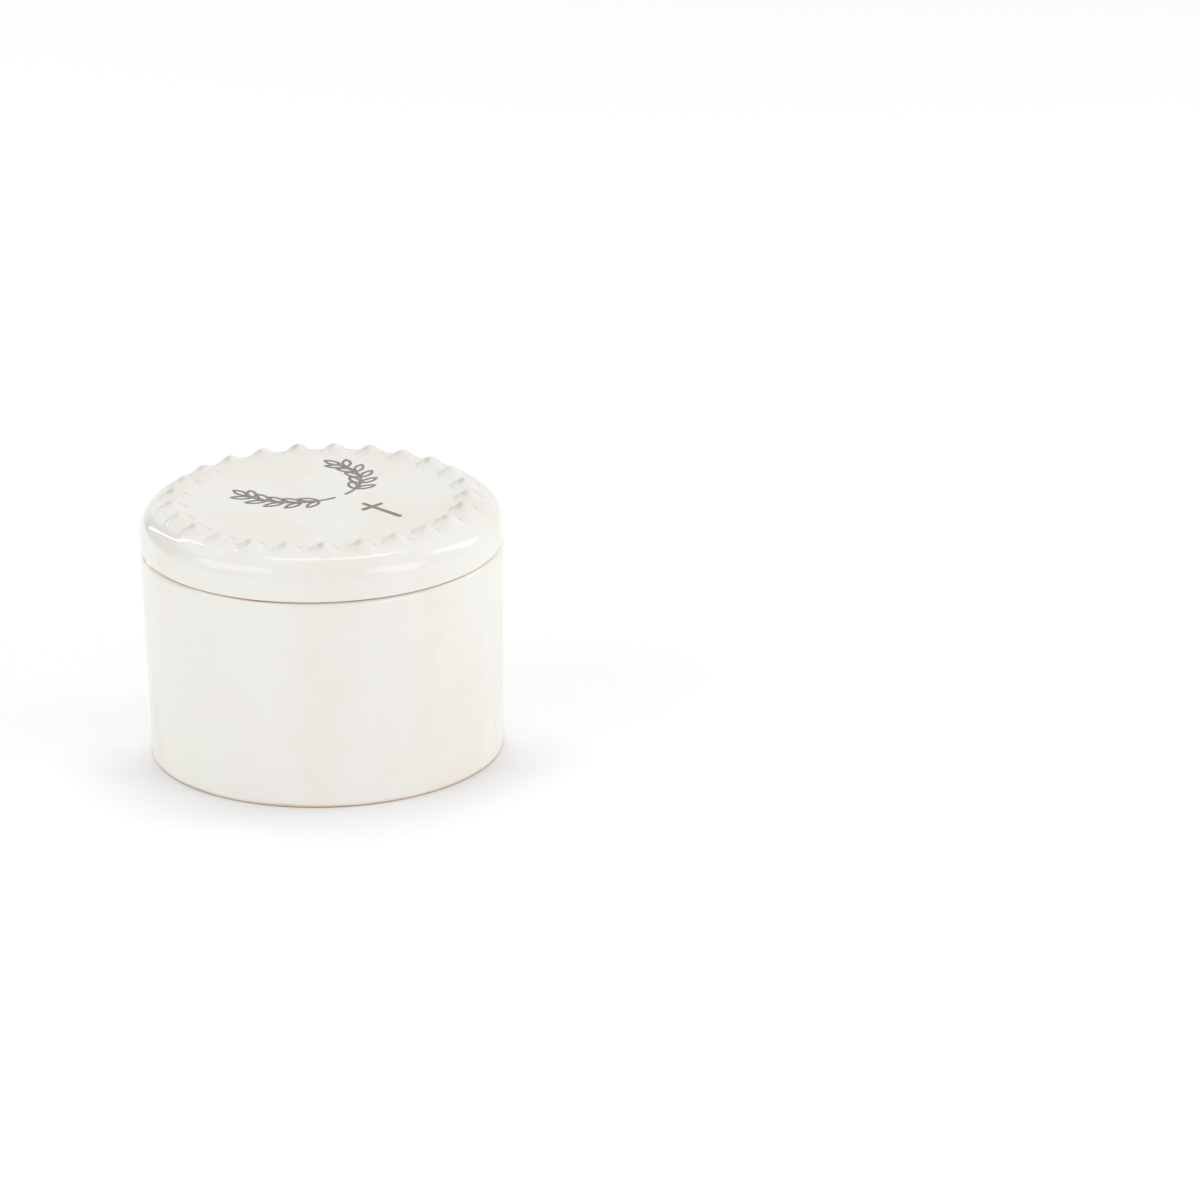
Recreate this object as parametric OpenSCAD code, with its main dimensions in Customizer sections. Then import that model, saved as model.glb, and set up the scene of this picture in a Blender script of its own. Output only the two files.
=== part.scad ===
// Round glazed ceramic keepsake box for a rosary: a slip-cast base and a lift-off
// lid whose flange drops into the base, with a ring of raised dots round the top.
// Millimetres, +Z up, origin at the centre of the foot, on the table.

/* [Base] */
// Outer diameter at the rim of the base
box_d = 88.9; // [78:0.1:120]
// How far the foot stands in from the rim, at each side
taper = 1.15; // [0:0.05:5]
// Height of the base, from the table to its rim
base_h = 53.1; // [35:0.1:90]
// Thickness of the base's wall
wall = 4.4; // [3:0.1:6]
// Thickness of the base's floor, from the table to its inside
floor_t = 5.2; // [3.5:0.1:9]
// How late the wall flares out towards the rim: 1 is a straight cone
flare = 1.2; // [1:0.1:3]
// Radius where the inside wall meets the floor
floor_fillet_r = 5; // [2:0.5:9]

/* [Edges] */
// Radius of the base's outer rim edge
rim_edge_r = 1.5; // [0.6:0.1:2]
// Radius of the base's inner rim edge
bore_edge_r = 0.8; // [0.3:0.1:1.2]
// Radius of the base's outer edge at the table
foot_edge_r = 0.6; // [0.4:0.1:2]
// Width of the bare ring that the base stands on
foot_ring_w = 5; // [3:0.1:8]
// Height that the underside is hollowed within the ring
foot_recess_h = 0.9; // [0.4:0.1:1.8]

/* [Lid] */
// How far the lid's side stands in from the base's rim, at each side
lid_inset = 0.05; // [0:0.05:1]
// Height of the lid, from its seat to its flat top
lid_h = 10.3; // [8.5:0.1:16]
// Thickness of the lid's top
lid_t = 4.6; // [3:0.1:6]
// Radius of the lid's outer edge at the seat
lid_edge_r = 0.6; // [0.4:0.1:1.8]
// Height of the lid's straight side, from its seat to the rounded shoulder
side_h = 2.1; // [1.9:0.1:4]
// Distance across the rounded shoulder, from the outer side to the flat top
shoulder_w = 9.6; // [4:0.1:14]
// Fullness of the shoulder: 2 is a plain quarter ellipse
shoulder_power = 3; // [2:0.1:4]

/* [Flange] */
// Depth that the lid's flange reaches into the base
flange_depth = 4.2; // [2.5:0.1:8]
// Thickness of the flange
flange_wall = 3.2; // [2:0.1:5]
// Gap between the flange and the base's bore, at each side
flange_gap = 0.6; // [0.3:0.05:1.2]
// Radius of the flange's lower edges
flange_edge_r = 0.9; // [0.3:0.1:1]
// Radius where the flange meets the lid's underside
hollow_fillet_r = 2.5; // [1:0.1:4]

/* [Dots] */
// Number of raised dots
dot_count = 25; // [12:1:36]
// How far the dots' centres stand outside the edge of the flat top
dot_out = 1.4; // [0:0.1:3]
// Diameter of a dot at its foot, where it runs out into the lid
dot_d = 8.4; // [5:0.1:9]
// Height of a dot above the lid's flat top
dot_h = 2.4; // [0.8:0.1:3]
// How early a dot falls away from its peak: 1 is a plain dome, 2 a bell with a soft foot
dot_fall = 2; // [1:0.1:3]
// Turn of the first dot from the +X axis, in degrees
dot_turn = 86; // [0:0.1:360]

/* [Print] */
// Thickness of the fired print
print_t = 0.1; // [0.05:0.01:0.3]
// Turn of the print from the +X axis, in degrees
print_turn = 44; // [0:1:360]
// Distance of the print's upright axis from the lid's centre
print_shift = 5.7; // [-6:0.1:6]
// Length of the cross
cross_h = 14; // [8:0.1:16]
// Width of the cross's arms
cross_w = 6.8; // [4:0.1:10]
// Mean width of the cross's strokes
cross_stroke = 1.1; // [0.6:0.05:2]
// How much wider a stroke of the cross is at its heavy end than at its light end
stroke_swell = 0.3; // [0:0.05:0.5]
// Distance of the arms' middle line from the top of the cross
cross_arm_drop = 3.6; // [2:0.1:6]
// Distance from the lid's centre line to the top of the cross
cross_drop = 8.8; // [4:0.1:12]
// Clear distance from the sprigs' tips to the edge of the flat top
sprig_margin = 4.8; // [3.2:0.1:9]
// Width of the sprigs' drawn lines
sprig_line = 0.65; // [0.4:0.05:0.9]
// Number of leaf pairs on each sprig
leaf_pairs = 5; // [3:1:7]
// Length of a leaf
leaf_l = 6; // [4:0.1:6.5]
// Width of a leaf
leaf_w = 2.6; // [2:0.1:3]

/* [Hidden] */
$fn = 96;

glaze_colour = [0.93, 0.91, 0.885];
print_colour = [0.46, 0.44, 0.42];

edge_steps = 8;           // chords in a small rounded edge
flare_steps = 10;         // chords up the outside of the wall
shoulder_steps = 20;      // chords over the lid's shoulder
dot_steps = 7;            // chords from a dot's peak to its foot
dot_root = 0.6;           // depth that a dot runs on into the lid below its foot
stem_steps = 24;          // chords along a sprig's stem

box_r = box_d / 2;
foot_r = box_r - taper;
bore_r = box_r - wall;                          // the round opening that the flange drops into
bore_run_on = 2;                                // how far the bore runs on below the flange
bore_foot_z = base_h - flange_depth - bore_run_on;
inner_foot_r = foot_r - wall;                   // the inside wall at the floor
recess_r = foot_r - foot_ring_w;

lid_r = box_r - lid_inset;
flat_r = lid_r - shoulder_w;                    // the flat top's edge
shoulder_h = lid_h - side_h;
flange_r = bore_r - flange_gap;
hollow_r = flange_r - flange_wall;
lid_top_z = base_h + lid_h;
hollow_top_z = lid_top_z - lid_t;
flange_foot_z = base_h - flange_depth;
dot_ring_r = flat_r + dot_out;
dot_drop = shoulder_drop(dot_ring_r + dot_d / 2);   // of the shoulder, at a dot's outermost point
dot_lean = atan(dot_drop / dot_d);                  // so that a dot's foot follows the shoulder
leaf_round_r = (pow(leaf_l, 2) + pow(leaf_w, 2)) / (4 * leaf_w);
stem_foot = -84;                                // where a stem starts on its curve, in degrees
stem_tip = 4;                                   // and where it ends
leaf_step = (stem_tip - stem_foot) / (leaf_pairs + 0.5);
leaf_splay = 36;                                // degrees between a leaf and its stem
sprig_foot_v = -1;                              // height of the sprigs' lowest line in the print
sprig_reach = flat_r - sprig_margin;            // from the lid's centre to a sprig's tip

// The radius of the stems' curve at which the further sprig's tip lies sprig_reach from the
// lid's centre. The tip is at [tip_u + r * cos(stem_tip), tip_v + r * (1 + sin(stem_tip))].
tip_u = abs(print_shift) - leaf_l * sin(stem_tip);
tip_v = sprig_foot_v + leaf_l * cos(stem_tip);
tip_b = tip_u * cos(stem_tip) + tip_v * (1 + sin(stem_tip));
tip_a = pow(cos(stem_tip), 2) + pow(1 + sin(stem_tip), 2);
tip_c = pow(tip_u, 2) + pow(tip_v, 2) - pow(sprig_reach, 2);
sprig_r = (sqrt(pow(tip_b, 2) - tip_a * tip_c) - tip_b) / tip_a;

// How far the lid's top has dropped from its flat, at a distance from the axis
function shoulder_drop(r) =
    let (across = min(1, max(0, (r - flat_r) / shoulder_w)))
    shoulder_h * (1 - pow(1 - pow(across, shoulder_power), 1 / shoulder_power));

// Points on an arc round (x, y), from angle a0 to a1
function arc(x, y, r, a0, a1, steps = edge_steps) =
    [for (i = [0:steps])
        let (a = a0 + (a1 - a0) * i / steps)
        [x + r * cos(a), y + r * sin(a)]];

// The outside of the wall, from above the foot's edge to below the rim's edge
function flared_wall(z0, z1) =
    [for (i = [1:flare_steps - 1])
        let (z = z0 + (z1 - z0) * i / flare_steps,
             share = pow((z - z0) / (z1 - z0), flare))
        [foot_r + (box_r - foot_r) * share, z]];

// The lid's shoulder, from the outer side over to the flat top
function shoulder() =
    [for (i = [0:shoulder_steps])
        let (a = 90 * i / shoulder_steps,
             across = pow(cos(a), 2 / shoulder_power),
             up = pow(sin(a), 2 / shoulder_power))
        [lid_r - shoulder_w * (1 - across), lid_top_z - shoulder_h * (1 - up)]];

function base_outline() = concat(
    [[0, foot_recess_h], [recess_r - foot_recess_h, foot_recess_h], [recess_r, 0]],
    arc(foot_r - foot_edge_r, foot_edge_r, foot_edge_r, -90, 0),
    flared_wall(foot_edge_r, base_h - rim_edge_r),
    arc(box_r - rim_edge_r, base_h - rim_edge_r, rim_edge_r, 0, 90),
    arc(bore_r + bore_edge_r, base_h - bore_edge_r, bore_edge_r, 90, 180),
    [[bore_r, bore_foot_z]],
    arc(inner_foot_r - floor_fillet_r, floor_t + floor_fillet_r, floor_fillet_r, 0, -90),
    [[0, floor_t]]
);

function lid_outline() = concat(
    [[0, hollow_top_z]],
    arc(hollow_r - hollow_fillet_r, hollow_top_z - hollow_fillet_r, hollow_fillet_r, 90, 0),
    arc(hollow_r + flange_edge_r, flange_foot_z + flange_edge_r, flange_edge_r, 180, 270),
    arc(flange_r - flange_edge_r, flange_foot_z + flange_edge_r, flange_edge_r, 270, 360),
    [[flange_r, base_h]],
    arc(lid_r - lid_edge_r, base_h + lid_edge_r, lid_edge_r, -90, 0),
    shoulder(),
    [[0, lid_top_z]]
);

// Half of a dot's outline: a bell from its peak to its foot, and its root inside the lid
function dot_outline() = concat(
    [for (i = [0:dot_steps])
        let (share = i / dot_steps)
        [dot_d / 2 * share, (dot_h + dot_drop / 2) * pow(1 - pow(share, 2), dot_fall)]],
    [[dot_d / 2 - dot_root, -dot_root], [0, -dot_root]]
);

// One raised dot: a bell that leans out with the shoulder, with its peak dot_h above the flat top
module dot() {
    translate([dot_ring_r, 0, lid_top_z - dot_drop / 2])
        rotate([0, dot_lean, 0])
            rotate_extrude($fn = 48)
                polygon(dot_outline());
}

module base() {
    color(glaze_colour)
        rotate_extrude()
            polygon(base_outline());
}

module lid() {
    color(glaze_colour)
        union() {
            rotate_extrude()
                polygon(lid_outline());
            for (i = [0:dot_count - 1])
                rotate([0, 0, dot_turn + 360 * i / dot_count])
                    dot();
        }
}

// A pointed oval along +X from its stalk, drawn in by the distance inset all round
module leaf_oval(inset) {
    translate([leaf_l / 2, 0])
        intersection() {
            translate([0, leaf_round_r - leaf_w / 2])
                circle(r = leaf_round_r - inset);
            translate([0, leaf_w / 2 - leaf_round_r])
                circle(r = leaf_round_r - inset);
        }
}

// A leaf drawn as an outline
module leaf() {
    difference() {
        leaf_oval(0);
        leaf_oval(sprig_line);
    }
}

// The right-hand sprig: a curved stem with leaves in pairs and one at its tip
module sprig() {
    translate([0, sprig_foot_v + sprig_r]) {
        polygon(concat(
            arc(0, 0, sprig_r + sprig_line / 2, stem_foot, stem_tip, stem_steps),
            arc(0, 0, sprig_r - sprig_line / 2, stem_tip, stem_foot, stem_steps)
        ));
        for (i = [1:leaf_pairs])
            for (side = [-1, 1])
                on_stem(stem_foot + i * leaf_step, side * leaf_splay)
                    leaf();
        on_stem(stem_tip, 0)
            leaf();
    }
}

// Puts a leaf's stalk on the stem, turned away from it
module on_stem(along, splay) {
    rotate([0, 0, along])
        translate([sprig_r, 0])
            rotate([0, 0, 90 + splay])
                children();
}

// A pen stroke with round ends, from its light end to its heavy end
module stroke(light, heavy) {
    light_w = cross_stroke - stroke_swell / 2;
    heavy_w = cross_stroke + stroke_swell / 2;
    along = (heavy - light) / norm(heavy - light);
    across = [-along[1], along[0]];
    from = light + along * light_w / 2;
    to = heavy - along * heavy_w / 2;
    polygon([
        from + across * light_w / 2,
        from - across * light_w / 2,
        to - across * heavy_w / 2,
        to + across * heavy_w / 2
    ]);
    translate(from)
        circle(d = light_w);
    translate(to)
        circle(d = heavy_w);
}

// A plain hand-drawn cross, upright, with its top at the origin
module cross() {
    stroke([0, 0], [0, -cross_h]);
    stroke([cross_w / 2, -cross_arm_drop], [-cross_w / 2, -cross_arm_drop]);
}

module lid_print() {
    color(print_colour)
        rotate([0, 0, print_turn])
            translate([print_shift, 0, lid_top_z])
                linear_extrude(print_t) {
                    translate([0, -cross_drop])
                        cross();
                    sprig();
                    mirror([1, 0, 0])
                        sprig();
                }
}

base();
lid();
lid_print();
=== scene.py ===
# Round keepsake box for a rosary: pearl-glazed earthenware base and lift-off lid.
import bpy
import math
from mathutils import Matrix, Quaternion, Vector


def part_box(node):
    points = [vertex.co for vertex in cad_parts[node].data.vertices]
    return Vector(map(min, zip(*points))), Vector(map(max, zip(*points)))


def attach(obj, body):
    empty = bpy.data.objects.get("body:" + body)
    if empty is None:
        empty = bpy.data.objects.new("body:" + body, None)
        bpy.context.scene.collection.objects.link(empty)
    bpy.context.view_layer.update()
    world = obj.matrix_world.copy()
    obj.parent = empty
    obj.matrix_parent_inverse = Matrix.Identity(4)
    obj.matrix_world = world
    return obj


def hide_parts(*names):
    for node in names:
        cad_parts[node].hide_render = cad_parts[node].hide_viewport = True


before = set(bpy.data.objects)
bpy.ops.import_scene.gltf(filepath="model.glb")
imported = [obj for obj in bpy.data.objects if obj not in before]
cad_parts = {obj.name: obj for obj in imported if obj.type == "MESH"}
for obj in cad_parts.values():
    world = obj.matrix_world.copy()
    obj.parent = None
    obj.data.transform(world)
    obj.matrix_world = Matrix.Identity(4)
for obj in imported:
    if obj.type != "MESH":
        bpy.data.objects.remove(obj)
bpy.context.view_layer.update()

mm = 0.001                                   # every length below is in millimetres
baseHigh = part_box("base")[1] / mm
lidLow, lidHigh = (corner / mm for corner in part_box("lid"))
rimRadius = baseHigh.x                       # of the base at its rim
rimZ = baseHigh.z                            # where the lid sits
lidRadius = lidHigh.x
flatTopZ = (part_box("lid_print")[0] / mm).z   # the print lies on the lid's flat top
flangeFootZ = lidLow.z
print("frame loaded: rim radius %.2f, seat at %.2f, flat top at %.2f" % (rimRadius, rimZ, flatTopZ))


def linearColour(hexCode, alpha=1.0):
    channels = [int(hexCode[i:i + 2], 16) / 255 for i in (1, 3, 5)]
    return [c / 12.92 if c <= 0.04045 else ((c + 0.055) / 1.055) ** 2.4 for c in channels] + [alpha]


def addNode(tree, kind, inputs=None, **settings):
    # inputs holds a value or a source socket for each input, by name or by number
    node = tree.nodes.new(kind)
    for name, value in settings.items():
        setattr(node, name, value)
    for name, value in (inputs or {}).items():
        socket = node.inputs[name] if isinstance(name, int) else next(
            s for s in node.inputs if s.name == name and s.enabled)
        if isinstance(value, bpy.types.NodeSocket):
            tree.links.new(value, socket)
        else:
            socket.default_value = value
    return node


# an outline is a list of (radius, height, glaze cover, waviness), from the axis round to the axis
def arcPoints(centreR, centreZ, radius, fromDegrees, toDegrees, steps, glaze=1.0, wave=0.0):
    points = []
    for i in range(steps + 1):
        angle = math.radians(fromDegrees + (toDegrees - fromDegrees) * i / steps)
        points.append((centreR + radius * math.cos(angle), centreZ + radius * math.sin(angle), glaze, wave))
    return points


def linePoints(start, end, steps):
    # the points between two ends, without the ends
    return [tuple(a + (b - a) * i / steps for a, b in zip(start, end)) for i in range(1, steps)]


def smoothStep(low, high, value):
    t = min(1.0, max(0.0, (value - low) / (high - low)))
    return t * t * (3 - 2 * t)


basePot = {
    "wall": 4.4, "floor": 5.2, "taper": 1.15, "flare": 1.2,
    "rimEdge": 1.5, "boreEdge": 0.8, "footEdge": 0.6, "floorFillet": 5.0,
    "footRing": 5.0, "recess": 0.9, "boreDepth": 6.2,
    "ringEdge": ((-0.2, 0.15), (0.1, 0.0)),           # the foot ring's inner edge, out and up from its corner
    "glazeFoot": 1.3,          # the glaze has its full thickness from this far above the table
    "recessBare": 0.5, "stepCover": 0.4,              # it thins out to this share over the last of the recess
    "rimBare": 0.55, "boreGlazed": 0.5,               # shares of the two rim edges where it ends and begins again
    "segments": 512, "wallSteps": 64, "footSteps": 4, "edgeSteps": 10,
    "recessSteps": 12, "ringSteps": 4, "insideSteps": 24, "floorSteps": 14,
    "waveSize": 26.0, "waveHeight": 0.07, "waveFades": (0.12, 0.08), "seed": 3.0,     # it fades out by foot and rim
}


def baseOutline(p):
    footR, boreR = rimRadius - p["taper"], rimRadius - p["wall"]
    innerFootR, recessR = footR - p["wall"], footR - p["footRing"]
    n, stepR = p["edgeSteps"], recessR - p["recess"]
    under = [(0, p["recess"], 1, 0)]
    under += linePoints(under[0], (stepR, p["recess"], 1, 0), p["recessSteps"])
    under += [(stepR - p["recessBare"], p["recess"], 1, 0), (stepR, p["recess"], p["stepCover"], 0)]
    under += [(recessR + out, up, 0, 0) for out, up in p["ringEdge"]]
    under += linePoints(under[-1], (footR - p["footEdge"], 0, 0, 0), p["ringSteps"])
    foot = arcPoints(footR - p["footEdge"], p["footEdge"], p["footEdge"], -90, 0, n, glaze=0)
    foot = [(r, z, z / p["glazeFoot"], 0) for r, z, g, w in foot]
    side, low, high = [], p["footEdge"], rimZ - p["rimEdge"]
    shares = [i / p["footSteps"] / p["wallSteps"] for i in range(1, p["footSteps"])]      # closer rings by the foot
    shares += [i / p["wallSteps"] for i in range(1, p["wallSteps"])]
    for share in shares:
        radius = footR + (rimRadius - footR) * share ** p["flare"]
        z = low + (high - low) * share
        wave = smoothStep(0, p["waveFades"][0], share) * smoothStep(0, p["waveFades"][1], 1 - share)
        side.append((radius, z, min(1, z / p["glazeFoot"]), wave))
    outerEdge = arcPoints(rimRadius - p["rimEdge"], high, p["rimEdge"], 0, 90, n)
    outerEdge = [(r, z, 1 - smoothStep(p["rimBare"], 1, (z - high) / p["rimEdge"]), 0) for r, z, g, w in outerEdge]
    innerEdge = arcPoints(boreR + p["boreEdge"], rimZ - p["boreEdge"], p["boreEdge"], 90, 180, n, glaze=0)
    innerEdge = [(r, z, smoothStep(p["boreGlazed"], 1, (rimZ - z) / p["boreEdge"]), 0) for r, z, g, w in innerEdge]
    inside = [(boreR, rimZ - p["boreDepth"], 1, 0)]
    inside += linePoints(inside[0], (innerFootR, p["floor"] + p["floorFillet"], 1, 0), p["insideSteps"])
    fillet = arcPoints(innerFootR - p["floorFillet"], p["floor"] + p["floorFillet"], p["floorFillet"], 0, -90, n)
    middle = (0, p["floor"], 1, 0)
    floor = linePoints(fillet[-1], middle, p["floorSteps"]) + [middle]
    return under + foot + side + outerEdge + innerEdge + inside + fillet + floor


lidCap = {
    "thickness": 4.6, "seatEdge": 0.6, "sideHeight": 2.1, "shoulderWidth": 9.6, "shoulderPower": 3.0,
    "flangeWall": 3.2, "flangeGap": 0.6, "flangeEdge": 0.9, "hollowFillet": 2.5,
    "rootFillet": ((0.0, -0.3), (0.1, -0.05), (0.35, 0.0)),      # from flange to seat, out and up from their corner
    "flangeBare": 0.8, "seatGlazed": (0.02, 0.35),    # shares of the two edges where the glaze ends and begins
    "segments": 720, "edgeSteps": 8, "ringSpacing": 0.28,
    "hollowSteps": 10, "innerWallSteps": 6, "outerWallSteps": 4, "seatSteps": 4, "sideSteps": 3,
    "shoulderSteps": 26, "shoulderSweep": 62.0, "flatSteps": 12,
    "waveSize": 12.0, "waveHeight": 0.17, "seed": 11.0,
    "sideWave": 0.6, "waveFade": (-1.0, 3.0),         # it is weaker at the side and fades out over the flat's edge
}

raisedDots = {
    "count": 25, "outsideFlat": 1.4, "turn": 86.0,      # degrees from +X to the first dot
    "height": 2.4, "reach": 4.2, "fall": 2.0,           # a bell, with its foot this far from its peak
    "heightSpread": 0.08, "placeSpread": 0.12,          # cast and glazed by hand, so no two are quite alike
    "markShift": (-0.9, -0.8), "markSize": 1.6,         # a painted dark reflection on each peak's front left, partly the glaze running thin there
    "markLeast": 0.3,                                   # the faintest of these marks, where 1 is the strongest
    "topDepth": 3.0,                                    # nothing that lies deeper below the flat top rises
    "margin": 0.3,                                      # the lid's fine rings go on this far past the dots' feet
    "seed": 5,
}


def shoulderHeight(radius, p):
    across = max(0.0, (radius - (lidRadius - p["shoulderWidth"])) / p["shoulderWidth"])
    drop = 1 - max(0.0, 1 - across ** p["shoulderPower"]) ** (1 / p["shoulderPower"])
    return flatTopZ - (flatTopZ - rimZ - p["sideHeight"]) * drop


def lidOutline(p):
    boreR = rimRadius - basePot["wall"]
    flangeR = boreR - p["flangeGap"]
    hollowR = flangeR - p["flangeWall"]
    hollowZ = flatTopZ - p["thickness"]
    flatR, n = lidRadius - p["shoulderWidth"], p["edgeSteps"]
    fillet, edge = p["hollowFillet"], p["flangeEdge"]
    hollow = [(0, hollowZ, 1, 0)]
    hollow += linePoints(hollow[0], (hollowR - fillet, hollowZ, 1, 0), p["hollowSteps"])
    hollow += arcPoints(hollowR - fillet, hollowZ - fillet, fillet, 90, 0, n)
    innerFoot = arcPoints(hollowR + edge, flangeFootZ + edge, edge, 180, 270, n)
    outerFoot = arcPoints(flangeR - edge, flangeFootZ + edge, edge, 270, 360, n)
    outerFoot = [(r, z, 1 - smoothStep(0, p["flangeBare"], (r - flangeR) / edge + 1), 0)
                 for r, z, g, w in outerFoot]
    root = [(flangeR + out, rimZ + up, 0, 0) for out, up in p["rootFillet"]]
    flange = linePoints(hollow[-1], innerFoot[0], p["innerWallSteps"]) + innerFoot + outerFoot
    flange += linePoints(outerFoot[-1], root[0], p["outerWallSteps"]) + root
    seat = linePoints(root[-1], (lidRadius - p["seatEdge"], rimZ, 0, 0), p["seatSteps"])
    seatEdge = arcPoints(lidRadius - p["seatEdge"], rimZ + p["seatEdge"], p["seatEdge"], -90, 0, n)
    seat += [(r, z, smoothStep(*p["seatGlazed"], (z - rimZ) / p["seatEdge"]), 0) for r, z, g, w in seatEdge]
    sideTop = (lidRadius, rimZ + p["sideHeight"], 1, p["sideWave"])
    outside = linePoints(seat[-1], sideTop, p["sideSteps"]) + [sideTop]
    # even steps by angle over the steep part of the shoulder, then by distance over the dots' band
    for i in range(1, p["shoulderSteps"] + 1):
        angle = math.radians(p["shoulderSweep"] * (i / p["shoulderSteps"]))
        radius = flatR + p["shoulderWidth"] * math.cos(angle) ** (2 / p["shoulderPower"])
        outside.append((radius, shoulderHeight(radius, p), 1, 1))
    bandEnd = flatR + raisedDots["outsideFlat"] - raisedDots["reach"] - raisedDots["margin"]
    waveEnd, waveStart = (flatR + distance for distance in p["waveFade"])
    radius = outside[-1][0] - p["ringSpacing"]
    while radius > bandEnd:
        outside.append((radius, shoulderHeight(radius, p), 1, smoothStep(waveEnd, waveStart, radius)))
        radius -= p["ringSpacing"]
    outside += [(bandEnd, flatTopZ, 1, 0)]
    middle = (0, flatTopZ, 1, 0)
    return hollow + flange + seat + outside + linePoints(outside[-1], middle, p["flatSteps"]) + [middle]


def outlineObject(name, points):
    # a chain of vertices in the XZ plane, in metres, that carries the glaze and waviness of each ring
    mesh = bpy.data.meshes.new(name)
    links = [(i, i + 1) for i in range(len(points) - 1)]
    mesh.from_pydata([(r * mm, 0, z * mm) for r, z, g, w in points], links, [])
    for key, column in (("glaze", 2), ("wave", 3)):
        layer = mesh.attributes.new(key, "FLOAT", "POINT")
        layer.data.foreach_set("value", [float(point[column]) for point in points])
    item = bpy.data.objects.new(name, mesh)
    bpy.context.scene.collection.objects.link(item)
    return item


def startTree(name, sockets):
    tree = bpy.data.node_groups.new(name, "GeometryNodeTree")
    tree.interface.new_socket("Geometry", in_out="INPUT", socket_type="NodeSocketGeometry")
    tree.interface.new_socket("Geometry", in_out="OUTPUT", socket_type="NodeSocketGeometry")
    for label, kind in sockets:
        tree.interface.new_socket(label, in_out="INPUT", socket_type="NodeSocket" + kind)
    return tree, addNode(tree, "NodeGroupInput").outputs


def turnedFormTree():
    # throws the outline round the Z axis as a potter's wheel would, then lets the glaze wander a little
    tree, given = startTree("turnedForm", [
        ("Segments", "Int"), ("Wave Size", "Float"), ("Wave Height", "Float"), ("Seed", "Float"),
        ("Material", "Material")])
    rings = addNode(tree, "GeometryNodeAttributeDomainSize", {"Geometry": given["Geometry"]}, component="MESH")
    across = addNode(tree, "ShaderNodeMath", {0: given["Segments"], 1: 1.0}, operation="ADD")
    grid = addNode(tree, "GeometryNodeMeshGrid", {
        "Vertices X": rings.outputs["Point Count"], "Vertices Y": across.outputs[0]})
    # the grid's rows are the outline's points and its columns are the steps round the axis
    index = addNode(tree, "GeometryNodeInputIndex")
    share = addNode(tree, "ShaderNodeMath", {0: index.outputs[0], 1: across.outputs[0]}, operation="DIVIDE")
    ring = addNode(tree, "ShaderNodeMath", {0: share.outputs[0]}, operation="FLOOR")
    before = addNode(tree, "ShaderNodeMath", {0: ring.outputs[0], 1: across.outputs[0]}, operation="MULTIPLY")
    column = addNode(tree, "ShaderNodeMath", {0: index.outputs[0], 1: before.outputs[0]}, operation="SUBTRACT")
    turnShare = addNode(tree, "ShaderNodeMath", {
        0: column.outputs[0], 1: given["Segments"]}, operation="DIVIDE")
    angle = addNode(tree, "ShaderNodeMath", {0: turnShare.outputs[0], 1: 2 * math.pi}, operation="MULTIPLY")
    here = addNode(tree, "GeometryNodeInputPosition")
    outlinePoint = addNode(tree, "GeometryNodeSampleIndex", {
        "Geometry": given["Geometry"], "Value": here.outputs[0], "Index": ring.outputs[0]},
        data_type="FLOAT_VECTOR")
    placed = addNode(tree, "ShaderNodeVectorRotate", {
        "Vector": outlinePoint.outputs["Value"], "Angle": angle.outputs[0]}, rotation_type="Z_AXIS")
    shape = addNode(tree, "GeometryNodeSetPosition", {
        "Geometry": grid.outputs["Mesh"], "Position": placed.outputs[0]}).outputs[0]
    for key in ("glaze", "wave"):
        kept = addNode(tree, "GeometryNodeInputNamedAttribute", {"Name": key}, data_type="FLOAT")
        carried = addNode(tree, "GeometryNodeSampleIndex", {
            "Geometry": given["Geometry"], "Value": kept.outputs["Attribute"], "Index": ring.outputs[0]},
            data_type="FLOAT")
        shape = addNode(tree, "GeometryNodeStoreNamedAttribute", {
            "Geometry": shape, "Name": key, "Value": carried.outputs["Value"]},
            data_type="FLOAT", domain="POINT").outputs[0]
    # the first column meets the last, and the end rings close to a point
    closed = addNode(tree, "GeometryNodeMergeByDistance", {"Geometry": shape, "Distance": 0.002 * mm})
    # the waviness of a dipped glaze over a cast wall
    inverse = addNode(tree, "ShaderNodeMath", {0: 1.0, 1: given["Wave Size"]}, operation="DIVIDE")
    noise = addNode(tree, "ShaderNodeTexNoise", {
        "W": given["Seed"], "Scale": inverse.outputs[0], "Detail": 1.0, "Roughness": 0.45},
        noise_dimensions="4D")
    centred = addNode(tree, "ShaderNodeMath", {0: noise.outputs[0], 1: -0.5}, operation="ADD")
    height = addNode(tree, "ShaderNodeMath", {
        0: centred.outputs[0], 1: given["Wave Height"]}, operation="MULTIPLY")
    wave = addNode(tree, "GeometryNodeInputNamedAttribute", {"Name": "wave"}, data_type="FLOAT")
    masked = addNode(tree, "ShaderNodeMath", {
        0: height.outputs[0], 1: wave.outputs["Attribute"]}, operation="MULTIPLY")
    normal = addNode(tree, "GeometryNodeInputNormal")
    offset = addNode(tree, "ShaderNodeVectorMath", {
        0: normal.outputs[0], "Scale": masked.outputs[0]}, operation="SCALE")
    waved = addNode(tree, "GeometryNodeSetPosition", {"Geometry": closed.outputs[0], "Offset": offset.outputs[0]})
    smooth = addNode(tree, "GeometryNodeSetShadeSmooth", {"Geometry": waved.outputs[0]})
    real = addNode(tree, "GeometryNodeRealizeInstances", {"Geometry": smooth.outputs[0]})
    painted = addNode(tree, "GeometryNodeSetMaterial", {
        "Geometry": real.outputs[0], "Material": given["Material"]})
    addNode(tree, "NodeGroupOutput", {"Geometry": painted.outputs[0]})
    return tree


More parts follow.
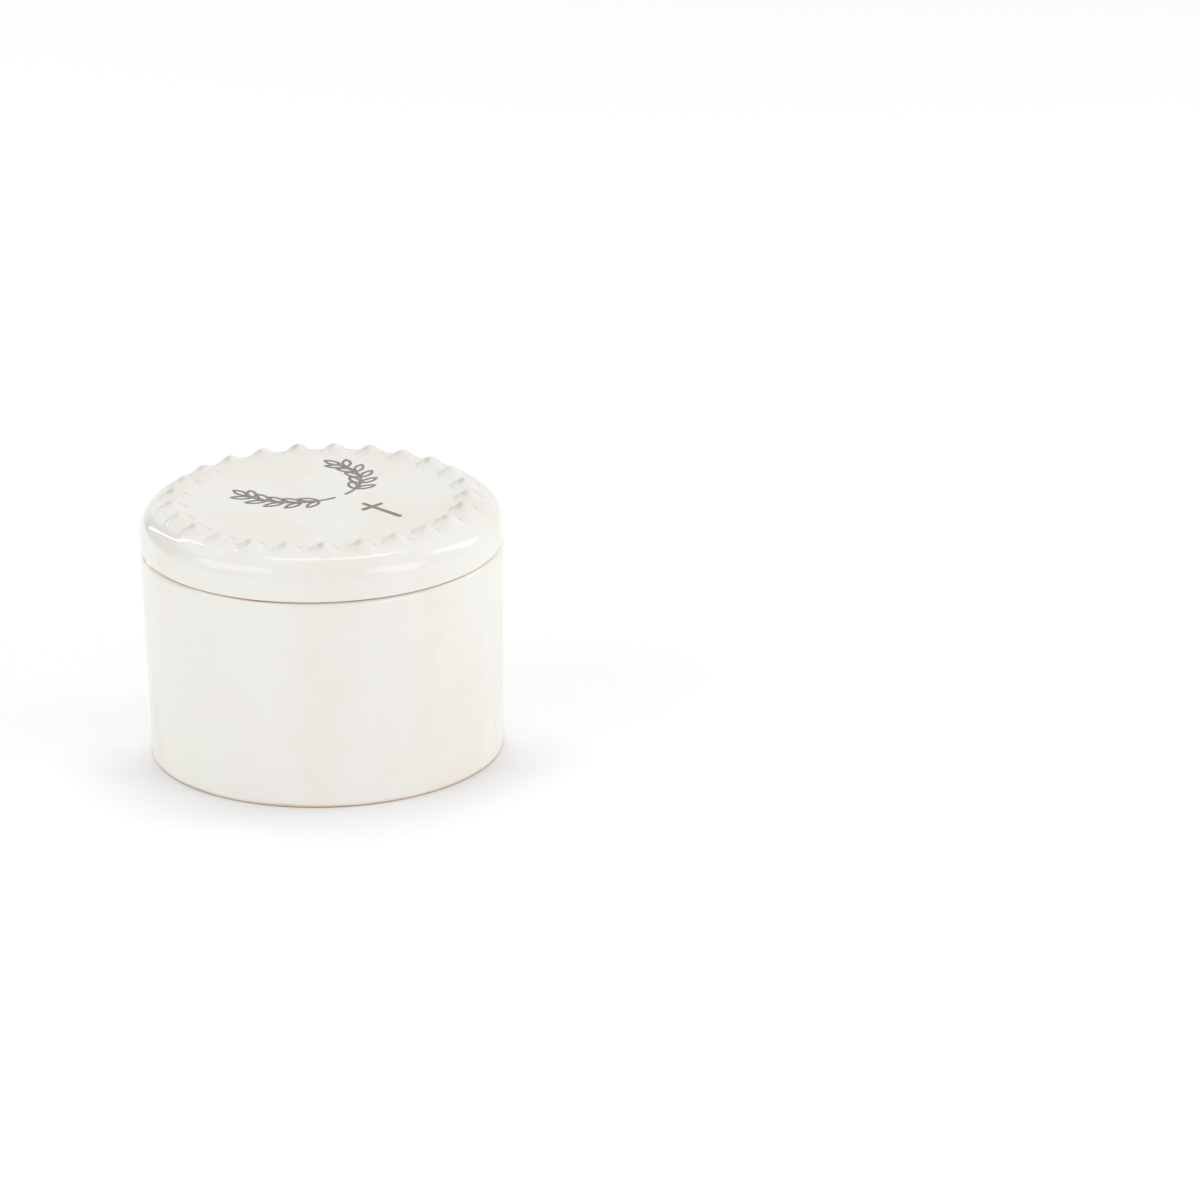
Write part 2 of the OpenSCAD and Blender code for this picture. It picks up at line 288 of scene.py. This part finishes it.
def raisedDotsTree():
    # lifts the lid's top into a ring of soft peaks, each one a little different
    tree, given = startTree("raisedDots", [
        ("Count", "Int"), ("Ring Radius", "Float"), ("Turn", "Float"), ("Top", "Float"), ("Top Depth", "Float"),
        ("Height", "Float"), ("Reach", "Float"), ("Fall", "Float"), ("Height Spread", "Float"),
        ("Place Spread", "Float"), ("Mark Shift", "Vector"), ("Mark Size", "Float"), ("Mark Least", "Float"),
        ("Seed", "Int"), ("Material", "Material")])
    # the peaks: a ring of points, each a little off its place
    circle = addNode(tree, "GeometryNodeMeshCircle", {
        "Vertices": given["Count"], "Radius": given["Ring Radius"]})
    lift = addNode(tree, "ShaderNodeCombineXYZ", {"Z": given["Top"]})
    spin = addNode(tree, "ShaderNodeCombineXYZ", {"Z": given["Turn"]})
    ring = addNode(tree, "GeometryNodeTransform", {
        "Geometry": circle.outputs[0], "Translation": lift.outputs[0], "Rotation": spin.outputs[0]})
    spread = addNode(tree, "ShaderNodeMath", {0: given["Place Spread"], 1: -1.0}, operation="MULTIPLY")
    shiftX = addNode(tree, "FunctionNodeRandomValue", {
        "Min": spread.outputs[0], "Max": given["Place Spread"], "Seed": given["Seed"]},
        data_type="FLOAT").outputs[1]
    otherSeed = addNode(tree, "ShaderNodeMath", {0: given["Seed"], 1: 17.0}, operation="ADD")
    shiftY = addNode(tree, "FunctionNodeRandomValue", {
        "Min": spread.outputs[0], "Max": given["Place Spread"], "Seed": otherSeed.outputs[0]},
        data_type="FLOAT").outputs[1]
    jitter = addNode(tree, "ShaderNodeCombineXYZ", {"X": shiftX, "Y": shiftY})
    peaks = addNode(tree, "GeometryNodeSetPosition", {"Geometry": ring.outputs[0], "Offset": jitter.outputs[0]})
    # each vertex of the lid's top rises by its place under the nearest peak's bell
    here = addNode(tree, "GeometryNodeInputPosition")
    parts = addNode(tree, "ShaderNodeSeparateXYZ", {0: here.outputs[0]})
    level = addNode(tree, "ShaderNodeCombineXYZ", {
        "X": parts.outputs["X"], "Y": parts.outputs["Y"], "Z": given["Top"]})
    nearest = addNode(tree, "GeometryNodeSampleNearest", {
        "Geometry": peaks.outputs[0], "Sample Position": level.outputs[0]}, domain="POINT")
    peakAt = addNode(tree, "GeometryNodeSampleIndex", {
        "Geometry": peaks.outputs[0], "Value": here.outputs[0], "Index": nearest.outputs[0]},
        data_type="FLOAT_VECTOR")
    away = addNode(tree, "ShaderNodeVectorMath", {
        0: level.outputs[0], 1: peakAt.outputs["Value"]}, operation="DISTANCE")
    ratio = addNode(tree, "ShaderNodeMath", {0: away.outputs["Value"], 1: given["Reach"]}, operation="DIVIDE")
    squared = addNode(tree, "ShaderNodeMath", {0: ratio.outputs[0], 1: 2.0}, operation="POWER")
    left = addNode(tree, "ShaderNodeMath", {0: 1.0, 1: squared.outputs[0]}, operation="SUBTRACT")
    within = addNode(tree, "ShaderNodeMath", {0: left.outputs[0], 1: 0.0}, operation="MAXIMUM")
    bell = addNode(tree, "ShaderNodeMath", {0: within.outputs[0], 1: given["Fall"]}, operation="POWER")
    lowest = addNode(tree, "ShaderNodeMath", {0: 1.0, 1: given["Height Spread"]}, operation="SUBTRACT")
    size = addNode(tree, "FunctionNodeRandomValue", {
        "Min": lowest.outputs[0], "Max": 1.0, "ID": nearest.outputs[0], "Seed": given["Seed"]},
        data_type="FLOAT").outputs[1]
    tall = addNode(tree, "ShaderNodeMath", {0: given["Height"], 1: size}, operation="MULTIPLY")
    rise = addNode(tree, "ShaderNodeMath", {0: tall.outputs[0], 1: bell.outputs[0]}, operation="MULTIPLY")
    lowestTop = addNode(tree, "ShaderNodeMath", {0: given["Top"], 1: given["Top Depth"]}, operation="SUBTRACT")
    onTop = addNode(tree, "ShaderNodeMath", {
        0: parts.outputs["Z"], 1: lowestTop.outputs[0]}, operation="GREATER_THAN")
    topRise = addNode(tree, "ShaderNodeMath", {0: rise.outputs[0], 1: onTop.outputs[0]}, operation="MULTIPLY")
    # the painted dark reflection beside each peak, partly thin glaze, and the bell itself, are kept for the glaze
    # to read
    markAt = addNode(tree, "ShaderNodeVectorMath", {
        0: peakAt.outputs["Value"], 1: given["Mark Shift"]}, operation="ADD")
    fromMark = addNode(tree, "ShaderNodeVectorMath", {
        0: level.outputs[0], 1: markAt.outputs[0]}, operation="DISTANCE")
    strength = addNode(tree, "FunctionNodeRandomValue", {
        "Min": given["Mark Least"], "Max": 1.0, "ID": nearest.outputs[0], "Seed": otherSeed.outputs[0]},
        data_type="FLOAT").outputs[1]
    peakShade = addNode(tree, "ShaderNodeMapRange", {
        "Value": fromMark.outputs["Value"], "From Min": 0.0, "From Max": given["Mark Size"],
        "To Min": strength, "To Max": 0.0}, interpolation_type="SMOOTHSTEP")
    onlyTop = addNode(tree, "ShaderNodeMath", {0: peakShade.outputs[0], 1: onTop.outputs[0]}, operation="MULTIPLY")
    marked = addNode(tree, "GeometryNodeStoreNamedAttribute", {
        "Geometry": given["Geometry"], "Name": "peakShade", "Value": onlyTop.outputs[0]},
        data_type="FLOAT", domain="POINT")
    bellTop = addNode(tree, "ShaderNodeMath", {0: bell.outputs[0], 1: onTop.outputs[0]}, operation="MULTIPLY")
    rounded = addNode(tree, "GeometryNodeStoreNamedAttribute", {
        "Geometry": marked.outputs[0], "Name": "dot", "Value": bellTop.outputs[0]},
        data_type="FLOAT", domain="POINT")
    offset = addNode(tree, "ShaderNodeCombineXYZ", {"Z": topRise.outputs[0]})
    raised = addNode(tree, "GeometryNodeSetPosition", {"Geometry": rounded.outputs[0], "Offset": offset.outputs[0]})
    real = addNode(tree, "GeometryNodeRealizeInstances", {"Geometry": raised.outputs[0]})
    painted = addNode(tree, "GeometryNodeSetMaterial", {
        "Geometry": real.outputs[0], "Material": given["Material"]})
    addNode(tree, "NodeGroupOutput", {"Geometry": painted.outputs[0]})
    return tree


def addTree(item, tree, values):
    modifier = item.modifiers.new(tree.name, "NODES")
    modifier.node_group = tree
    for socket in tree.interface.items_tree:
        if socket.name in values:
            modifier[socket.identifier] = values[socket.name]


def plainMesh(item, name):
    # the evaluated shape as a mesh of its own, with no modifier left on it
    bpy.context.view_layer.update()
    evaluated = item.evaluated_get(bpy.context.evaluated_depsgraph_get())
    mesh = bpy.data.meshes.new_from_object(evaluated)
    mesh.name = name
    made = bpy.data.objects.new(name, mesh)
    bpy.context.scene.collection.objects.link(made)
    bpy.data.objects.remove(item)
    return made


pearlGlaze = {
    "warm": "#EEEAE2", "plain": "#F0EEE9", "cool": "#EFF0EA",      # the tints that the pearl glaze drifts between, drawn into upright bands that also serve as painted reflection of the panels
    "tintStops": (0.42, 0.53, 0.62), "driftSize": 20.0, "driftSeed": 101.0, "bandStretch": 0.22,
    "blotchSize": 7.0, "blotchShare": 0.2,
    "thin": "#E8DCCB",        # glaze drawn thin over an edge lets the clay through
    "thinCover": (0.4, 0.8), "glazedCover": (0.3, 0.38), "coverWander": 18.0, "coverStep": 0.15,
    "clay": "#D9BBA4",        # biscuit-fired cream earthenware, bare
    "clayLight": "#E2CBB8", "clayGrain": 0.5,
    "grimeAndShade": "#A98A73",      # the clay again, darker where the lid and the table touch it: some grime, mostly painted shade in the seam groove and along the foot's contact
    "grimeAndShadeLight": "#DECDBD", "grimeAndShadeCover": 0.2,
    # the noise that sets the painted seam shade, darker at the front and lighter at the sides
    "grimeShadeSize": 46.0, "grimeShadeSeed": 232.0, "grimeShadeStretch": 0.3, "grimeShadeLevels": (0.32, 0.62),
    "peakShade": "#C8C4B7",        # painted dark reflection on the dots' peaks, partly where the glaze ran thin
    "speck": "#B39A63",       # iron specks in the clay
    "speckSpacing": 38.0, "speckRadius": 0.3, "speckSoftness": 0.6, "speckStrength": 0.75,
    "orangePeelSize": 2.6, "orangePeelHeight": 0.012,
    "roughness": 0.09, "clayRoughness": 0.82, "ior": 1.52,
    "dotRoughness": 0.34, "dotEdge": 0.06,            # the glaze is duller where it thins on the dots
    "filmNanometres": 340.0, "filmIOR": 1.56,
}


def newMaterial(name):
    material = bpy.data.materials.new(name)
    material.use_nodes = True
    material.node_tree.nodes.clear()
    return material, material.node_tree


def makePearlGlaze(p):
    # pearl-white gloss glaze, dipped over cast cream earthenware and left off the seats and the foot:
    # a milky white body with a faint pink and green drift that is partly painted reflection bands, sharp
    # highlights, warm thin edges, a few specks, painted dark reflections on the dots' peaks and painted shade in
    # the seam and along the foot
    material, tree = newMaterial("pearlGlaze")
    place = addNode(tree, "ShaderNodeTexCoord").outputs["Object"]
    # the tint, drawn out into upright bands: partly the glaze's own pink and green drift, partly painted reflection
    # of the studio panels on the wall
    banded = addNode(tree, "ShaderNodeMapping", {"Vector": place, "Scale": (1.0, 1.0, p["bandStretch"])})
    drift = addNode(tree, "ShaderNodeTexNoise", {
        "Vector": banded.outputs[0], "W": p["driftSeed"], "Scale": 1 / (p["driftSize"] * mm),
        "Detail": 1.5, "Roughness": 0.45}, noise_dimensions="4D")
    blotch = addNode(tree, "ShaderNodeTexNoise", {
        "Vector": place, "Scale": 1 / (p["blotchSize"] * mm), "Detail": 1.0})
    drifted = addNode(tree, "ShaderNodeMix", {
        "Factor": p["blotchShare"], "A": drift.outputs[0], "B": blotch.outputs[0]})
    tint = addNode(tree, "ShaderNodeValToRGB", {"Fac": drifted.outputs[0]})
    stops = tint.color_ramp.elements
    stops[0].position, middle, stops[1].position = p["tintStops"]
    stops[0].color, stops[1].color = linearColour(p["warm"]), linearColour(p["cool"])
    stops.new(middle).color = linearColour(p["plain"])

    # painted dark reflection on the dots' peaks, laid over the tint
    peakShade = addNode(tree, "ShaderNodeAttribute", attribute_name="peakShade")
    onPeaks = addNode(tree, "ShaderNodeMix", {
        "Factor": peakShade.outputs["Fac"], "A": tint.outputs["Color"], "B": linearColour(p["peakShade"])}, data_type="RGBA")

    cells = addNode(tree, "ShaderNodeTexVoronoi", {"Vector": place, "Scale": 1 / (p["speckSpacing"] * mm)})
    speckEdge = p["speckRadius"] / p["speckSpacing"]
    speck = addNode(tree, "ShaderNodeMapRange", {
        "Value": cells.outputs["Distance"], "From Min": speckEdge * (1 - p["speckSoftness"]),
        "From Max": speckEdge, "To Min": p["speckStrength"], "To Max": 0.0})
    specked = addNode(tree, "ShaderNodeMix", {
        "Factor": speck.outputs[0], "A": onPeaks.outputs["Result"], "B": linearColour(p["speck"])},
        data_type="RGBA")

    # where the glaze covers the clay, with a ragged edge
    cover = addNode(tree, "ShaderNodeAttribute", attribute_name="glaze")
    ragged = addNode(tree, "ShaderNodeTexNoise", {
        "Vector": place, "Scale": 1 / (p["coverWander"] * mm), "Detail": 3.0})
    wander = addNode(tree, "ShaderNodeMath", {0: ragged.outputs[0], 1: -0.5}, operation="ADD")
    edge = addNode(tree, "ShaderNodeMath", {0: wander.outputs[0], 1: cover.outputs["Fac"]}, operation="ADD")
    thinning = addNode(tree, "ShaderNodeMapRange", {
        "Value": edge.outputs[0], "From Min": p["thinCover"][0], "From Max": p["thinCover"][1]})
    glazed = addNode(tree, "ShaderNodeMapRange", {
        "Value": edge.outputs[0], "From Min": p["glazedCover"][0], "From Max": p["glazedCover"][1]})
    thinned = addNode(tree, "ShaderNodeMix", {
        "Factor": thinning.outputs[0], "A": linearColour(p["thin"]), "B": specked.outputs["Result"]},
        data_type="RGBA")

    # the bare clay, plain, or darkened with grime and painted shade where the lid and the table touch it
    grain = addNode(tree, "ShaderNodeTexNoise", {
        "Vector": place, "Scale": 1 / (p["clayGrain"] * mm), "Detail": 3.0})
    clayShade = addNode(tree, "ShaderNodeMix", {
        "Factor": grain.outputs[0], "A": linearColour(p["clay"]), "B": linearColour(p["clayLight"])},
        data_type="RGBA")
    # painted shade with some grime on the bare clay at the seats and the foot, darker at the front of the seam
    atContact = addNode(tree, "ShaderNodeMapRange", {
        "Value": cover.outputs["Fac"], "From Min": 0.0, "From Max": p["grimeAndShadeCover"], "To Min": 1.0, "To Max": 0.0})
    around = addNode(tree, "ShaderNodeMapping", {"Vector": place, "Scale": (1.0, 1.0, p["grimeShadeStretch"])})
    grimeShade = addNode(tree, "ShaderNodeTexNoise", {
        "Vector": around.outputs[0], "W": p["grimeShadeSeed"], "Scale": 1 / (p["grimeShadeSize"] * mm), "Detail": 0.0},
        noise_dimensions="4D")
    lessShaded = addNode(tree, "ShaderNodeMapRange", {
        "Value": grimeShade.outputs[0], "From Min": p["grimeShadeLevels"][0], "From Max": p["grimeShadeLevels"][1]})
    shadedGrime = addNode(tree, "ShaderNodeMix", {
        "Factor": lessShaded.outputs[0], "A": linearColour(p["grimeAndShade"]), "B": linearColour(p["grimeAndShadeLight"])},
        data_type="RGBA")
    bare = addNode(tree, "ShaderNodeMix", {
        "Factor": atContact.outputs[0], "A": clayShade.outputs["Result"], "B": shadedGrime.outputs["Result"]},
        data_type="RGBA")

    colour = addNode(tree, "ShaderNodeMix", {
        "Factor": glazed.outputs[0], "A": bare.outputs["Result"], "B": thinned.outputs["Result"]},
        data_type="RGBA")
    dot = addNode(tree, "ShaderNodeAttribute", attribute_name="dot")
    glazeGloss = addNode(tree, "ShaderNodeMapRange", {
        "Value": dot.outputs["Fac"], "From Min": 0.0, "From Max": p["dotEdge"],
        "To Min": p["roughness"], "To Max": p["dotRoughness"]})
    gloss = addNode(tree, "ShaderNodeMapRange", {
        "Value": glazed.outputs[0], "To Min": p["clayRoughness"], "To Max": glazeGloss.outputs[0]})
    peel = addNode(tree, "ShaderNodeTexNoise", {
        "Vector": place, "Scale": 1 / (p["orangePeelSize"] * mm), "Detail": 1.0})
    peelBump = addNode(tree, "ShaderNodeBump", {
        "Height": peel.outputs[0], "Distance": p["orangePeelHeight"] * mm, "Strength": 1.0})
    coverBump = addNode(tree, "ShaderNodeBump", {
        "Height": glazed.outputs[0], "Distance": p["coverStep"] * mm, "Strength": 0.6,
        "Normal": peelBump.outputs[0]})
    surface = addNode(tree, "ShaderNodeBsdfPrincipled", {
        "Base Color": colour.outputs["Result"], "Roughness": gloss.outputs[0], "IOR": p["ior"],
        "Thin Film Thickness": p["filmNanometres"], "Thin Film IOR": p["filmIOR"],
        "Normal": coverBump.outputs[0]})
    addNode(tree, "ShaderNodeOutputMaterial", {"Surface": surface.outputs[0]})
    return material


firedPrint = {
    "ink": "#6B645E", "worn": "#8C857D", "mottleSize": 0.9, "mottleLevels": (0.35, 0.75),
    "roughness": 0.28, "ior": 1.5,
}


def makeFiredInk(p):
    # warm grey ceramic transfer fired on the glaze: flat dark lines that are a touch uneven in cover
    material, tree = newMaterial("firedCeramicInk")
    place = addNode(tree, "ShaderNodeTexCoord").outputs["Object"]
    mottle = addNode(tree, "ShaderNodeTexNoise", {
        "Vector": place, "Scale": 1 / (p["mottleSize"] * mm), "Detail": 3.0})
    share = addNode(tree, "ShaderNodeMapRange", {
        "Value": mottle.outputs[0], "From Min": p["mottleLevels"][0], "From Max": p["mottleLevels"][1]})
    colour = addNode(tree, "ShaderNodeMix", {
        "Factor": share.outputs[0], "A": linearColour(p["ink"]), "B": linearColour(p["worn"])}, data_type="RGBA")
    surface = addNode(tree, "ShaderNodeBsdfPrincipled", {
        "Base Color": colour.outputs["Result"], "Roughness": p["roughness"], "IOR": p["ior"]})
    addNode(tree, "ShaderNodeOutputMaterial", {"Surface": surface.outputs[0]})
    return material


glaze = makePearlGlaze(pearlGlaze)
turned = turnedFormTree()

base = outlineObject("baseOutline", baseOutline(basePot))
addTree(base, turned, {
    "Segments": basePot["segments"], "Wave Size": basePot["waveSize"] * mm,
    "Wave Height": basePot["waveHeight"] * mm, "Seed": basePot["seed"], "Material": glaze})
base = plainMesh(base, "glazedBase")
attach(base, "base")
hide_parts("base")
print("base turned:", len(base.data.polygons), "faces")

lid = outlineObject("lidOutline", lidOutline(lidCap))
addTree(lid, turned, {
    "Segments": lidCap["segments"], "Wave Size": lidCap["waveSize"] * mm,
    "Wave Height": lidCap["waveHeight"] * mm, "Seed": lidCap["seed"], "Material": glaze})
addTree(lid, raisedDotsTree(), {
    "Count": raisedDots["count"],
    "Ring Radius": (lidRadius - lidCap["shoulderWidth"] + raisedDots["outsideFlat"]) * mm,
    "Turn": math.radians(raisedDots["turn"]), "Top": flatTopZ * mm, "Top Depth": raisedDots["topDepth"] * mm,
    "Height": raisedDots["height"] * mm, "Reach": raisedDots["reach"] * mm, "Fall": raisedDots["fall"],
    "Height Spread": raisedDots["heightSpread"], "Place Spread": raisedDots["placeSpread"] * mm,
    "Mark Shift": [shift * mm for shift in raisedDots["markShift"]] + [0.0],
    "Mark Size": raisedDots["markSize"] * mm, "Mark Least": raisedDots["markLeast"],
    "Seed": raisedDots["seed"], "Material": glaze})
lid = plainMesh(lid, "glazedLid")
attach(lid, "lid")
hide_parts("lid")
print("lid turned and its dots raised:", len(lid.data.polygons), "faces")

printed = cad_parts["lid_print"]
printed.data.materials.clear()
printed.data.materials.append(makeFiredInk(firedPrint))
print("print inked")


studio = {
    "floorSize": 9.0, "floorColour": "#FBFBFB",       # size in metres
    "floorGlow": 0.09,                                # seen by the camera and by gloss, and lights nothing
    "floorDrop": 0.02,                                # below the foot, so that the two don't lie in one plane
    "shadowReach": 28.0, "shadowDepth": 0.4, "shadowFrom": (-0.15, 0.9, 0.4),      # it falls towards the front
    "shadowStart": 2.0, "shadowFull": -18.0,          # and grows from the first to the second of these places in Y
    # how bright the sky is, as it lights the box from the front and from behind, low down and high up
    "frontLow": 0.79, "frontHigh": 0.72, "backLow": 0.59, "backHigh": 0.775,
    # and as the gloss mirrors it
    "backdrop": 0.88, "backdropRight": 1.0, "doorway": 0.05, "overhead": 0.75, "room": 0.6,
    # where one gives way to the next, along the sky's own X (to the right), Y (to the back) and Z, from -1 to 1
    "frontToBack": (-0.2, 0.2), "frontRise": (0.2, 0.65), "backRise": (0.1, 0.7),
    "doorSide": (-0.40, -0.60), "doorLean": -0.4, "doorBack": (0.0, 0.12), "doorTop": (0.68, 0.55),
    "backdropToRight": (0.08, 0.35), "backdropToOverhead": (0.79, 0.86), "roomToBackdrop": (-0.2, 0.3),
}
# each panel: the way to it from the box (degrees round from the front, with the right at +90, and degrees up),
# distance, width and height in metres, lean in degrees, and brightness, where 1 is a white wall
panels = {
    "leftPanel": (-62, 36, 1.1, 0.85, 0.55, 30, 1.38),
    "rightPanel": (51, 24, 1.1, 0.70, 0.48, -39, 1.64),
    "rearRightPanel": (104, 27, 1.1, 0.30, 0.80, 26, 1.85),
    "stripLamp": (-141, 25, 1.2, 0.045, 0.60, 0, 7.0),
    "stripTop": (-152, 39, 1.2, 0.36, 0.025, 0, 6.5),
    "rearTopPanel": (177, 61, 1.2, 0.5, 0.2, 0, 2.05),
}
panelAim = Vector((0, 0, 0.035))             # they all face the middle of the box, in metres


def placePanel(name, azimuth, elevation, distance, width, height, lean, brightness):
    lamp = bpy.data.lights.new(name, "AREA")
    lamp.shape, lamp.size, lamp.size_y = "RECTANGLE", width, height
    lamp.energy = brightness * math.pi * width * height
    item = bpy.data.objects.new(name, lamp)
    a, e = math.radians(azimuth), math.radians(elevation)
    towards = Vector((math.sin(a) * math.cos(e), -math.cos(a) * math.cos(e), math.sin(e)))
    item.location = towards * distance + panelAim
    item.rotation_mode = "QUATERNION"
    item.rotation_quaternion = (-towards).to_track_quat("-Z", "Y") @ Quaternion((0, 0, 1), math.radians(lean))
    item.visible_camera = False
    bpy.context.scene.collection.objects.link(item)


def makeFloor(p):
    half, z = p["floorSize"] / 2, -p["floorDrop"] * mm
    mesh = bpy.data.meshes.new("studioFloor")
    mesh.from_pydata([(-half, -half, z), (half, -half, z), (half, half, z), (-half, half, z)], [], [(0, 1, 2, 3)])
    floor = bpy.data.objects.new("studioFloor", mesh)
    bpy.context.scene.collection.objects.link(floor)
    material, tree = newMaterial("studioWhite")
    rays = addNode(tree, "ShaderNodeLightPath").outputs
    seen = addNode(tree, "ShaderNodeMath", {
        0: rays["Is Camera Ray"], 1: rays["Is Glossy Ray"]}, operation="MAXIMUM")
    shown = addNode(tree, "ShaderNodeMath", {
        0: seen.outputs[0], 1: rays["Is Transmission Ray"]}, operation="MAXIMUM")
    glow = addNode(tree, "ShaderNodeMath", {0: shown.outputs[0], 1: p["floorGlow"]}, operation="MULTIPLY")
    # the paper's own contact shadow, which only the camera sees
    openness = addNode(tree, "ShaderNodeAmbientOcclusion", {
        "Distance": p["shadowReach"] * mm, "Normal": Vector(p["shadowFrom"]).normalized()})
    place = addNode(tree, "ShaderNodeTexCoord").outputs["Object"]
    across = addNode(tree, "ShaderNodeSeparateXYZ", {0: place}).outputs
    inFront = addNode(tree, "ShaderNodeMapRange", {
        "Value": across["Y"], "From Min": p["shadowStart"] * mm, "From Max": p["shadowFull"] * mm,
        "To Min": 0.0, "To Max": p["shadowDepth"]})
    depth = addNode(tree, "ShaderNodeMath", {
        0: inFront.outputs[0], 1: rays["Is Camera Ray"]}, operation="MULTIPLY")
    covered = addNode(tree, "ShaderNodeMath", {0: 1.0, 1: openness.outputs["AO"]}, operation="SUBTRACT")
    lost = addNode(tree, "ShaderNodeMath", {0: covered.outputs[0], 1: depth.outputs[0]}, operation="MULTIPLY")
    forCamera = addNode(tree, "ShaderNodeMath", {0: 1.0, 1: lost.outputs[0]}, operation="SUBTRACT")
    paper = addNode(tree, "ShaderNodeVectorMath", {
        0: linearColour(p["floorColour"])[:3], "Scale": forCamera.outputs[0]}, operation="SCALE")
    matt = addNode(tree, "ShaderNodeBsdfDiffuse", {"Color": paper.outputs[0]})
    light = addNode(tree, "ShaderNodeEmission", {"Strength": glow.outputs[0]})
    both = addNode(tree, "ShaderNodeAddShader", {0: matt.outputs[0], 1: light.outputs[0]})
    addNode(tree, "ShaderNodeOutputMaterial", {"Surface": both.outputs[0]})
    mesh.materials.append(material)


def makeWorld(p):
    # white to the camera; to the gloss, a bright backdrop behind the box with a dark doorway low on its left
    world = bpy.data.worlds.new("whiteStudio")
    world.use_nodes = True
    tree = world.node_tree
    tree.nodes.clear()
    way = addNode(tree, "ShaderNodeTexCoord").outputs["Generated"]
    axes = addNode(tree, "ShaderNodeSeparateXYZ", {0: way}).outputs

    def fade(along, span, atStart=0.0, atEnd=1.0):
        return addNode(tree, "ShaderNodeMapRange", {
            "Value": along, "From Min": span[0], "From Max": span[1], "To Min": atStart, "To Max": atEnd},
            interpolation_type="SMOOTHSTEP").outputs[0]

    def blend(factor, first, second):
        return addNode(tree, "ShaderNodeMix", {"Factor": factor, "A": first, "B": second}).outputs[0]

    lit = blend(
        fade(axes["Y"], p["frontToBack"]), fade(axes["Z"], p["frontRise"], p["frontLow"], p["frontHigh"]),
        fade(axes["Z"], p["backRise"], p["backLow"], p["backHigh"]))
    leaning = addNode(tree, "ShaderNodeMath", {
        0: axes["Z"], 1: p["doorLean"], 2: axes["X"]}, operation="MULTIPLY_ADD")
    door = addNode(tree, "ShaderNodeMath", {
        0: fade(leaning.outputs[0], p["doorSide"]), 1: fade(axes["Y"], p["doorBack"])}, operation="MULTIPLY")
    door = addNode(tree, "ShaderNodeMath", {
        0: door.outputs[0], 1: fade(axes["Z"], p["doorTop"])}, operation="MULTIPLY")
    backdrop = fade(axes["X"], p["backdropToRight"], p["backdrop"], p["backdropRight"])
    behind = blend(door.outputs[0], backdrop, p["doorway"])
    behind = blend(fade(axes["Z"], p["backdropToOverhead"]), behind, p["overhead"])
    mirrored = blend(fade(axes["Y"], p["roomToBackdrop"]), p["room"], behind)
    rays = addNode(tree, "ShaderNodeLightPath").outputs
    forGloss = blend(rays["Is Glossy Ray"], lit, mirrored)
    seen = addNode(tree, "ShaderNodeMath", {
        0: rays["Is Camera Ray"], 1: rays["Is Transmission Ray"]}, operation="MAXIMUM")
    level = blend(seen.outputs[0], forGloss, 1.0)
    sky = addNode(tree, "ShaderNodeBackground", {"Color": linearColour("#FFFFFF"), "Strength": level})
    addNode(tree, "ShaderNodeOutputWorld", {"Surface": sky.outputs[0]})
    bpy.context.scene.world = world


makeFloor(studio)
makeWorld(studio)
for name, numbers in panels.items():
    placePanel(name, *numbers)
print("studio lit")

# where the photograph was taken from, in millimetres from the centre of the foot
shot = {"place": (67.7, -1814.6, 705.1), "pitch": 20.232, "roll": -1.0207, "lens": 236.72, "sensor": 36.0}
cameraData = bpy.data.cameras.new("camera")
cameraData.lens, cameraData.sensor_width = shot["lens"], shot["sensor"]
cameraData.clip_start, cameraData.clip_end = 0.05, 30
camera = bpy.data.objects.new("camera", cameraData)
bpy.context.scene.collection.objects.link(camera)
camera.matrix_world = (
    Matrix.Translation(Vector(shot["place"]) * mm)
    @ Matrix.Rotation(math.radians(90 - shot["pitch"]), 4, "X")
    @ Matrix.Rotation(math.radians(shot["roll"]), 4, "Z"))
bpy.context.scene.camera = camera
bpy.context.scene.view_settings.view_transform = "Standard"
